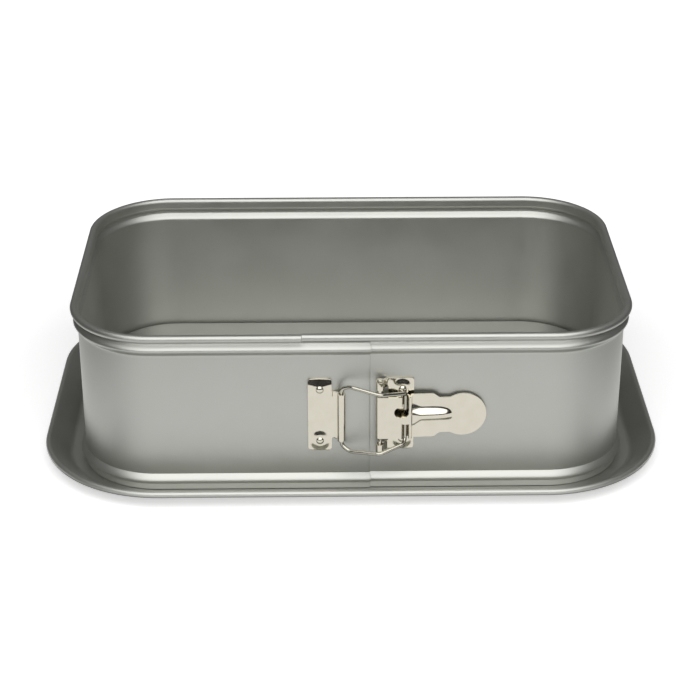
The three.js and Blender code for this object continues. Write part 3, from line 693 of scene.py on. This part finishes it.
def bracket_columns():
    flat = spaced(BRACKET_LEFT, BRACKET_RIGHT - PLATE_CORNER)[:-1]
    flat += [BRACKET_RIGHT - c for c in reversed(corner_offsets())]
    climb = climb_line(BRACKET_LEFT, HINGE_X, BRACKET_MID, HINGE_OUT - KNUCKLE_MID)
    knuckle = arc(HINGE_X, HINGE_OUT, KNUCKLE_MID, 270, 270 - KNUCKLE_TURN, KNUCKLE_FACETS)
    return [Vector((x, BRACKET_MID)) for x in reversed(flat)] + climb + knuckle


def bracket_half(x):
    return corner_half(x, x - LATCH_HALF, BRACKET_RIGHT)


def bracket_lift(p, z):
    return seat_lift(p.x, z, BRACKET_RIVETS) * ease(p.x, BRACKET_LEFT - SEAT_BLEND, BRACKET_LEFT + SEAT_BLEND)


def bracket_keep(p, z):
    return p.x > BRACKET_LEFT or abs(z) > KNUCKLE_FOOT


bracket_rows = rows_through(-LATCH_HALF, -KNUCKLE_FOOT, KNUCKLE_FOOT, LATCH_HALF)
bracket_grid = sheet_grid(
    "bracket_sheet", bracket_columns(), bracket_rows, bracket_half, bracket_lift, bracket_keep
)
bracket_mesh = thicken(bracket_grid)
finish_piece("bracket_sheet", bracket_mesh, PLATED, "ring", ["latch_bracket"])


# %% Hinge pin
PIN_SHANK, PIN_HEAD, PIN_HEAD_THICK, PIN_ROUNDING = 1.0, 1.6, 0.7, 0.3  # radii and a thickness
AXIS_GAP = 0.02  # a turned form closes this near to its axis
TURNED_FACETS, ROUNDING_FACETS = 32, 4


def turned_rings(profile, place):
    rings = []
    for radius, along in profile:
        turns = [2 * math.pi * i / TURNED_FACETS for i in range(TURNED_FACETS)]
        rings.append([place(radius * math.cos(a), radius * math.sin(a), along) for a in turns])
    return rings


def pin_profile():
    end = LATCH_HALF + FIT
    tip = end + PIN_HEAD_THICK
    edge = arc(PIN_HEAD - PIN_ROUNDING, tip - PIN_ROUNDING, PIN_ROUNDING, 0, 90, ROUNDING_FACETS)
    upper = [(PIN_SHANK, end), (PIN_HEAD, end), *edge, (AXIS_GAP, tip)]
    return [(r, -z) for r, z in reversed(upper)] + upper


pin_rings = turned_rings(pin_profile(), lambda a, b, z: latch_point(HINGE_X + a, HINGE_OUT + b, z))
pin_mesh = skin_rings("hinge_pin", pin_rings)
finish_piece("hinge_pin", pin_mesh, PLATED, "ring", ["lever_pin"])

# %% [markdown]
# ## The rivets
# Each plate has two domed rivets, and the bracket's show a flat head inside the pan. Four meshes could be
# placed by hand. But rivets repeat, so one is turned as a pattern piece and a node tree sets a copy on each
# point. Realize Instances makes the copies real, because the exported model can't hold instances.

# %% Rivet tree
RIVET_SHANK, RIVET_HEAD, RIVET_DOME = 1.2, 2.0, 1.1  # two radii and the height of the dome
DOME_END, DOME_FACETS = 88, 8  # degrees, just short of the axis


def rivet_tree():
    tree, sockets, given, made = new_tree(
        "rivets_on_points", {"Rivet": "NodeSocketObject", "Finish": "NodeSocketMaterial"}
    )
    nodes, links = tree.nodes, tree.links
    pattern = nodes.new("GeometryNodeObjectInfo")
    copies = nodes.new("GeometryNodeInstanceOnPoints")
    realize = nodes.new("GeometryNodeRealizeInstances")
    paint = nodes.new("GeometryNodeSetMaterial")
    links.new(given.outputs["Rivet"], pattern.inputs["Object"])
    links.new(given.outputs["Geometry"], copies.inputs["Points"])
    links.new(pattern.outputs["Geometry"], copies.inputs["Instance"])
    links.new(copies.outputs["Instances"], realize.inputs["Geometry"])
    links.new(realize.outputs["Geometry"], paint.inputs["Geometry"])
    links.new(given.outputs["Finish"], paint.inputs["Material"])
    links.new(paint.outputs["Geometry"], made.inputs["Geometry"])
    return tree, sockets


def rivet_profile(seat, inside, tail):
    end = inside - tail
    flat_head = [(RIVET_HEAD, end), (RIVET_HEAD, inside)] if tail else []
    turns = [math.radians(a) for a in steps(0, DOME_END, DOME_FACETS)]
    crown = [(RIVET_HEAD * math.cos(a), seat + RIVET_DOME * math.sin(a)) for a in turns]
    return [(AXIS_GAP, end), *flat_head, (RIVET_SHANK, inside), (RIVET_SHANK, seat), *crown]


def place_rivets(name, places, profile, nodes):
    rings = turned_rings(profile, lambda a, b, u: Vector((a, -OUTER_LAYER - u, b)))
    pattern_mesh = skin_rings("rivet_pattern", rings)
    pattern = bpy.data.objects.new("rivet_pattern", pattern_mesh)
    bpy.context.scene.collection.objects.link(pattern)
    points = edge_loop("rivet_points", [(x, 0, LATCH_Z + z) for x, z in places], False)
    tree, sockets = rivet_tree()
    made = run_tree(points, tree, {sockets["Rivet"]: pattern, sockets["Finish"]: PLATED})
    clear_helpers(pattern, points)
    finish_piece(name, made, PLATED, "ring", nodes)


# %% Rivets
seat = LATCH_SHEET + SEAT_RISE
hook_rivet = rivet_profile(seat, -SHEET, 0)
bracket_rivet = rivet_profile(seat - LAP_STEP, -LAP_STEP - SHEET, SHEET)
place_rivets("hook_rivets", HOOK_RIVETS, hook_rivet, ["hook_rivet_upper", "hook_rivet_lower"])
place_rivets(
    "bracket_rivets", BRACKET_RIVETS, bracket_rivet, ["bracket_rivet_upper", "bracket_rivet_lower"]
)

# %% [markdown]
# ## The lever
# The lever takes the most skill. It is pressed from one sheet: a knuckle rolled round the pin, a raised
# box, and a lower tongue with a waist and a round end. A rib, steep below and drawn out above, runs from the
# box along the tongue, two troughs hold the ends of the wire, and an oval window lies where the upper trough
# ends. Sculpting it would be hard to keep exact. As a grid over the sheet, each of these is one line of a
# rule for how far the face stands out, and the outline is one rule for how high the grid is at each place
# along the lever. Only the troughs are too steep for such a rule, so their columns have a second place,
# along a U, and slide to it.

# %% Lever sizes
LEVER_HALF, TONGUE_HALF, WAIST_HALF, END_RADIUS = 11.7, 12.2, 9.9, 11.8
LEVER_FACE, STEP_X, TIP_X, RIB_END = 5.5, 29.4, 67.5, 50.5
STEP_DROP, STEP_RUN, TONGUE_FALL = 2.7, 0.8, 2.0
SHOULDER_X, WAIST_RUN, WAIST_ROUNDING = 40.3, 4.2, 0.5
RIB_TOP, RIB_CREST, RIB_FOOT = 5.4, 0.5, -2.9  # heights of its upper foot, its crest and its lower foot
RIB_RISE, RIB_STEEP, RIB_FLARE = 2.0, 2.2, 2.8  # how far it stands out, its steep side, its root on the box
RIB_ROUNDING, RIB_CURVE, RIB_POINT = 0.25, 1.5, 6  # of the crest, the long side and the far end
PIVOT_X, PIVOT_OUT, TROUGH_FLOOR, TROUGH_HALF, TROUGH_FOLD = 26.5, 3.0, 1.8, 1.5, 0.5
TROUGH_START, TROUGH_FULL = 3.2, 3.9
WINDOW_X, WINDOW_Z, WINDOW_A, WINDOW_B = 24.5, 3.2, 3.7, 3.2
LEVER_ROWS, LEVER_GRID, STEP_GRID, TROUGH_GRID = 88, 0.4, 0.1, 0.3
ROLL_FACETS, FOLD_FACETS, TROUGH_FACETS, END_FACETS = 30, 4, 16, 36
END_TURN = 88.6  # degrees, just short of the tip
print("lever length:", round(TIP_X - HINGE_X, 1), "mm")


def soft_least(a, b, rounding):
    near = max(rounding - abs(a - b), 0) / rounding
    return min(a, b) - near * near * rounding / 4


def lever_face(x, z):
    past = share_of(x, STEP_X, RIB_END)
    tongue = LEVER_FACE - STEP_DROP - TONGUE_FALL * share_of(x, STEP_X, TIP_X)
    flare = RIB_FLARE * (1 - ease(x, STEP_X, STEP_X + 2 * RIB_FLARE))
    kept = 1 - past**RIB_POINT
    upper_foot = RIB_CREST + (RIB_TOP - RIB_CREST) * math.sqrt(kept) + flare
    climb = share_of(upper_foot - z, 0, max(upper_foot - RIB_CREST, RIB_STEEP)) ** RIB_CURVE
    upper = soft_least((1 + RIB_ROUNDING) * climb, 1, RIB_ROUNDING)
    lower = ease(z - RIB_FOOT + flare, 0, RIB_STEEP)
    rib = RIB_RISE * kept * min(upper, lower)
    box = 1 - ease(x, STEP_X - STEP_RUN / 2, STEP_X + STEP_RUN / 2)
    pressed = tongue + rib
    return pressed + (LEVER_FACE - pressed) * box


# %% Lever outline
def lever_half(x):
    box_to_tongue = LEVER_HALF + (TONGUE_HALF - LEVER_HALF) * ease(x, STEP_X - STEP_RUN, STEP_X)
    drawn_in = box_to_tongue - (TONGUE_HALF - WAIST_HALF) * ease(x, SHOULDER_X, SHOULDER_X + WAIST_RUN)
    centre = TIP_X - END_RADIUS
    if x <= centre - END_RADIUS:
        return drawn_in
    end = math.sqrt(max(END_RADIUS**2 - (x - centre) ** 2, 0))
    if x >= centre:
        return end
    return -soft_least(-end, -drawn_in, WAIST_ROUNDING)


def trough_line():
    mid = LEVER_FACE - SHEET_MID
    reach = TROUGH_HALF + SHEET_MID
    bottom = TROUGH_FLOOR - SHEET_MID + reach
    left = arc(PIVOT_X - reach - TROUGH_FOLD, mid - TROUGH_FOLD, TROUGH_FOLD, 90, 0, FOLD_FACETS)
    right = arc(PIVOT_X + reach + TROUGH_FOLD, mid - TROUGH_FOLD, TROUGH_FOLD, 180, 90, FOLD_FACETS)
    walls = spaced(mid - TROUGH_FOLD, bottom, TROUGH_GRID)[1:-1]
    return [
        *left,
        *[Vector((PIVOT_X - reach, u)) for u in walls],
        *arc(PIVOT_X, bottom, reach, 180, 360, TROUGH_FACETS),
        *[Vector((PIVOT_X + reach, u)) for u in reversed(walls)],
        *right,
    ]


# %% Lever mesh
def lever_columns():
    trough = trough_line()
    start, stop = trough[0].x, trough[-1].x
    centre = TIP_X - END_RADIUS
    step = STEP_X + STEP_RUN
    turns = [math.radians(a) for a in steps(0, END_TURN, END_FACETS)[1:]]
    tip = [centre + END_RADIUS * math.sin(a) for a in turns]
    plain = spaced(stop, step, STEP_GRID)[1:] + spaced(step, centre, LEVER_GRID)[1:] + tip
    return [
        *[(x, None) for x in spaced(HINGE_X, start, LEVER_GRID)[:-1]],
        *zip(steps(start, stop, len(trough) - 1), trough),
        *[(x, None) for x in plain],
    ]


def lever_place(x, trough, z):
    flat = Vector((x, lever_face(x, z) - SHEET_MID))
    if trough:
        flat = flat.lerp(trough, ease(abs(z), TROUGH_START, TROUGH_FULL))
    return latch_point(flat.x, flat.y, z)


def lever_sheet():
    roll = arc(HINGE_X, HINGE_OUT, KNUCKLE_MID, 90 + KNUCKLE_TURN, 90, ROLL_FACETS)[:-1]
    columns = lever_columns()
    shares = steps(-1, 1, LEVER_ROWS)
    points, faces = [], []
    for p in roll:
        points += [latch_point(p.x, p.y, v * LEVER_HALF) for v in shares]
    for x, trough in columns:
        points += [lever_place(x, trough, v * lever_half(x)) for v in shares]
    count = len(shares)
    for c in range(len(roll) + len(columns) - 1):
        for r in range(count - 1):
            first = c * count + r
            faces.append((first, first + 1, first + count + 1, first + count))
    return mesh_of("lever_sheet", points, faces)


# %% Lever window
def cut_window(mesh):
    bm = bmesh.new()
    bm.from_mesh(mesh)

    def window_place(co):
        x, z, out = co.x / MM, co.z / MM - LATCH_Z, -co.y / MM - OUTER_LAYER
        return (x - WINDOW_X) / WINDOW_A, (z - WINDOW_Z) / WINDOW_B, out

    inside = []
    for face in bm.faces:
        a, b, _ = window_place(face.calc_center_median())
        if a * a + b * b < 1:
            inside.append(face)
    rim = {v for face in inside for v in face.verts}
    bmesh.ops.delete(bm, geom=inside, context="FACES")
    for v in rim:
        if v.is_valid and v.is_boundary:
            a, b, out = window_place(v.co)
            turn = math.atan2(b, a)
            x, z = WINDOW_X + WINDOW_A * math.cos(turn), WINDOW_Z + WINDOW_B * math.sin(turn)
            v.co = latch_point(x, out, z) * MM
    bm.to_mesh(mesh)
    bm.free()


lever_grid = lever_sheet()
cut_window(lever_grid)
lever_mesh = thicken(lever_grid)
finish_piece("lever_sheet", lever_mesh, PLATED, "lever", ["latch_lever"])

# %% [markdown]
# ## The wire bail
# One length of round wire: its ends lie in the lever's troughs, its arms rise over the hinge and come down
# to an upright leg inside the hook's roll. A curve object with a round bevel could show it. Here a node tree
# makes it, with the radii of the wire and of its bends as inputs: the path's corners are filleted and a
# circle is swept along it. The corner points are the same as in the CAD model.

# %% Bail path
WIRE, BAIL_TIP, WIRE_BEND = 2.0, 4.2, 2.6
BAIL_TOP, KINK_HALF = 18.3, 16.7
BAIL_RISE, RISE_RUN, KINK_OUT, SHOULDER_OUT = 6.8, 5.7, 12.2, 6.2
BEND_RADIUS, BEND_FACETS, WIRE_FACETS, WIRE_SHARP_ANGLE = 4.0, 8, 20, 50
turn_in = TONGUE_HALF + WIRE / 2 + FIT
upper_arm = [
    (PIVOT_X, PIVOT_OUT, BAIL_TIP),
    (PIVOT_X, PIVOT_OUT, turn_in),
    (PIVOT_X - WIRE / 2, SHOULDER_OUT, turn_in + WIRE / 2),
    (HINGE_X, KINK_OUT, KINK_HALF),
    (LEG_X + RISE_RUN, BAIL_RISE, BAIL_TOP),
    (LEG_X + 2 * WIRE, BAIL_RISE - WIRE / 2, BAIL_TOP),
    (LEG_X, HOOK_OUT, HOOK_ROLL_HALF + WIRE_BEND + FIT),
]
bail_points = [latch_point(*p) for p in upper_arm]
bail_points += [latch_point(x, u, -z) for x, u, z in reversed(upper_arm)]
print("bail points:", len(bail_points))


# %% Bail tree
def wire_tree():
    kinds = {
        "Wire radius": "NodeSocketFloat",
        "Bend radius": "NodeSocketFloat",
        "Finish": "NodeSocketMaterial",
    }
    tree, sockets, given, made = new_tree("bent_wire", kinds)
    nodes, links = tree.nodes, tree.links
    path = nodes.new("GeometryNodeMeshToCurve")
    bends = nodes.new("GeometryNodeFilletCurve")
    bends.mode = "POLY"
    bends.inputs["Count"].default_value = BEND_FACETS
    bends.inputs["Limit Radius"].default_value = True
    section = nodes.new("GeometryNodeCurvePrimitiveCircle")
    section.inputs["Resolution"].default_value = WIRE_FACETS
    sweep = nodes.new("GeometryNodeCurveToMesh")
    sweep.inputs["Fill Caps"].default_value = True
    realize = nodes.new("GeometryNodeRealizeInstances")
    paint = nodes.new("GeometryNodeSetMaterial")
    links.new(given.outputs["Geometry"], path.inputs["Mesh"])
    links.new(path.outputs["Curve"], bends.inputs["Curve"])
    links.new(given.outputs["Bend radius"], bends.inputs["Radius"])
    links.new(given.outputs["Wire radius"], section.inputs["Radius"])
    links.new(bends.outputs["Curve"], sweep.inputs["Curve"])
    links.new(section.outputs["Curve"], sweep.inputs["Profile Curve"])
    links.new(sweep.outputs["Mesh"], realize.inputs["Geometry"])
    links.new(realize.outputs["Geometry"], paint.inputs["Geometry"])
    links.new(given.outputs["Finish"], paint.inputs["Material"])
    links.new(paint.outputs["Geometry"], made.inputs["Geometry"])
    return tree, sockets


# %% Bail mesh
bail_path = edge_loop("bail_path", bail_points, False)
tree, sockets = wire_tree()
bail_mesh = run_tree(bail_path, tree, {
    sockets["Wire radius"]: WIRE / 2 * MM,
    sockets["Bend radius"]: BEND_RADIUS * MM,
    sockets["Finish"]: DRAWN,
})
clear_helpers(bail_path)
finish_piece("bail_wire", bail_mesh, DRAWN, "bail", ["wire_bail"], WIRE_SHARP_ANGLE)

# %% [markdown]
# ## The floor and the light
# One broad soft light stands in front of the pan and above it, over a pale table in a dim room. The upright
# walls mirror the table, the rolls and beads mirror the light, and what tilts between the two mirrors the
# dim room. Lamps with dark flags beside the pan could do the same. Here the table takes that part: in
# reflections it glows only before and behind the pan, and fades to both sides and beside the tray, where
# the shadow lies. For the camera it glows a little everywhere, so that it reads as white and keeps the
# shadow.

# %% Stage helpers
def math_step(tree, operation, *values):
    step = tree.nodes.new("ShaderNodeMath")
    step.operation = operation
    for socket, value in zip(step.inputs, values):
        if isinstance(value, (int, float)):
            socket.default_value = value
        else:
            tree.links.new(value, socket)
    return step.outputs["Value"]


def split_of(tree, vector):
    split = tree.nodes.new("ShaderNodeSeparateXYZ")
    tree.links.new(vector, split.inputs["Vector"])
    return split.outputs["X"], split.outputs["Y"], split.outputs["Z"]


# %% Table
TABLE_HALF, TABLE_TONE = 4.0, 0.88
CAMERA_GLOW, CAMERA_FADE = 0.42, (0.2, 0.6)  # near the pan, and the metres over which it grows to white
MIRRORED_GLOW = 1.05  # before and behind the pan
MIRRORED_REST, MIRRORED_SHADOW = 0.1, 0.3  # shares of it at the sides, and beside the tray, where the dimmed glow is a painted shadow
SIDE_FADE, FAR_FADE, SHADOW_FADE = (0.18, 0.42), (0.42, 0.5), (0, 0.01)  # metres
tray_half = ((lip_x + TRAY_ROLL / 2) * MM, (lip_y + TRAY_ROLL / 2) * MM)


def mirrored_glow(tree, place):
    x, y, _ = split_of(tree, place)
    aside, ahead = math_step(tree, "ABSOLUTE", x), math_step(tree, "ABSOLUTE", y)
    past_x = math_step(tree, "SUBTRACT", aside, tray_half[0])
    past_y = math_step(tree, "SUBTRACT", ahead, tray_half[1])
    past_tray = math_step(tree, "MAXIMUM", past_x, past_y)
    level = faded(tree, aside, SIDE_FADE, (MIRRORED_GLOW, MIRRORED_GLOW * MIRRORED_REST))
    level = math_step(tree, "MULTIPLY", level, faded(tree, ahead, FAR_FADE, (1, 0)))
    # painted shadow: the glow that reflections see is dimmed beside the tray
    shadow = faded(tree, past_tray, SHADOW_FADE, (MIRRORED_SHADOW, 1))
    return math_step(tree, "MULTIPLY", level, shadow)


def table_finish():
    paper = bpy.data.materials.new("white_table")
    paper.use_nodes = True
    tree = paper.node_tree
    nodes, links = tree.nodes, tree.links
    nodes.clear()
    place = nodes.new("ShaderNodeTexCoord").outputs["Object"]
    rays = nodes.new("ShaderNodeLightPath")
    away = nodes.new("ShaderNodeVectorMath")
    away.operation = "LENGTH"
    links.new(place, away.inputs[0])
    white = faded(tree, away.outputs["Value"], CAMERA_FADE, (CAMERA_GLOW, 1))
    white = math_step(tree, "MULTIPLY", white, rays.outputs["Is Camera Ray"])
    mirrored = math_step(tree, "MULTIPLY", mirrored_glow(tree, place), rays.outputs["Is Glossy Ray"])
    shade = nodes.new("ShaderNodeMix")
    shade.data_type = "RGBA"
    shade.inputs["A"].default_value = (TABLE_TONE, TABLE_TONE, TABLE_TONE, 1)
    shade.inputs["B"].default_value = (0, 0, 0, 1)  # reflections see the glow alone
    diffuse = nodes.new("ShaderNodeBsdfDiffuse")
    glow = nodes.new("ShaderNodeEmission")
    both = nodes.new("ShaderNodeAddShader")
    end = nodes.new("ShaderNodeOutputMaterial")
    links.new(rays.outputs["Is Glossy Ray"], shade.inputs["Factor"])
    links.new(shade.outputs["Result"], diffuse.inputs["Color"])
    links.new(math_step(tree, "ADD", white, mirrored), glow.inputs["Strength"])
    links.new(diffuse.outputs["BSDF"], both.inputs[0])
    links.new(glow.outputs["Emission"], both.inputs[1])
    links.new(both.outputs["Shader"], end.inputs["Surface"])
    return paper


table_mesh = bpy.data.meshes.new("table")
table_corners = [(-1, -1), (1, -1), (1, 1), (-1, 1)]
table_mesh.from_pydata([(x * TABLE_HALF, y * TABLE_HALF, 0) for x, y in table_corners], [], [(0, 1, 2, 3)])
table_mesh.materials.append(table_finish())
table = bpy.data.objects.new("table", table_mesh)
bpy.context.scene.collection.objects.link(table)
print("table:", table.name, "with", table_mesh.materials[0].name)

# %% Lamp
LAMP_PLACE, LAMP_AIM = Vector((0, -1.2, 1.42)), Vector((0, 0, 0.04))
LAMP_SIZE, LAMP_POWER = (2.6, 2.7), 47
lamp = bpy.data.lights.new("front_softbox", "AREA")
lamp.shape = "RECTANGLE"
lamp.size, lamp.size_y = LAMP_SIZE
lamp.energy = LAMP_POWER
softbox = bpy.data.objects.new("front_softbox", lamp)
softbox.location = LAMP_PLACE
softbox.rotation_euler = (LAMP_AIM - LAMP_PLACE).to_track_quat("-Z", "Y").to_euler()
bpy.context.scene.collection.objects.link(softbox)
print("lamp:", softbox.name, lamp.energy, "W")

# %% Room
ROOM_TONE = 0.15  # for all rays but the camera's and the mirrored ones
OVERHEAD_FADE, OVERHEAD_GLOW = (0.3, 1.0), (0.05, 0.15)  # mirrored, by how far up the ray points
BEHIND_FADE, BEHIND_GLOW = (0.2, 0.9), (0, 0.1)  # mirrored, by how far back it points


def room_world():
    world = bpy.data.worlds.new("dim_room")
    world.use_nodes = True
    tree = world.node_tree
    nodes, links = tree.nodes, tree.links
    _, back_share, up_share = split_of(tree, nodes.new("ShaderNodeTexCoord").outputs["Generated"])
    overhead = faded(tree, up_share, OVERHEAD_FADE, OVERHEAD_GLOW)
    mirrored = math_step(tree, "ADD", overhead, faded(tree, back_share, BEHIND_FADE, BEHIND_GLOW))
    rays = nodes.new("ShaderNodeLightPath")
    room = nodes.new("ShaderNodeMix")
    room.data_type = "RGBA"
    room.inputs["A"].default_value = (ROOM_TONE, ROOM_TONE, ROOM_TONE, 1)
    seen = nodes.new("ShaderNodeMix")
    seen.data_type = "RGBA"
    seen.inputs["B"].default_value = (1, 1, 1, 1)
    links.new(rays.outputs["Is Glossy Ray"], room.inputs["Factor"])
    links.new(mirrored, room.inputs["B"])
    links.new(rays.outputs["Is Camera Ray"], seen.inputs["Factor"])
    links.new(room.outputs["Result"], seen.inputs["A"])
    links.new(seen.outputs["Result"], nodes["Background"].inputs["Color"])
    return world


bpy.context.scene.world = room_world()
bpy.context.scene.view_settings.view_transform = "Standard"
print("room:", bpy.context.scene.world.name)
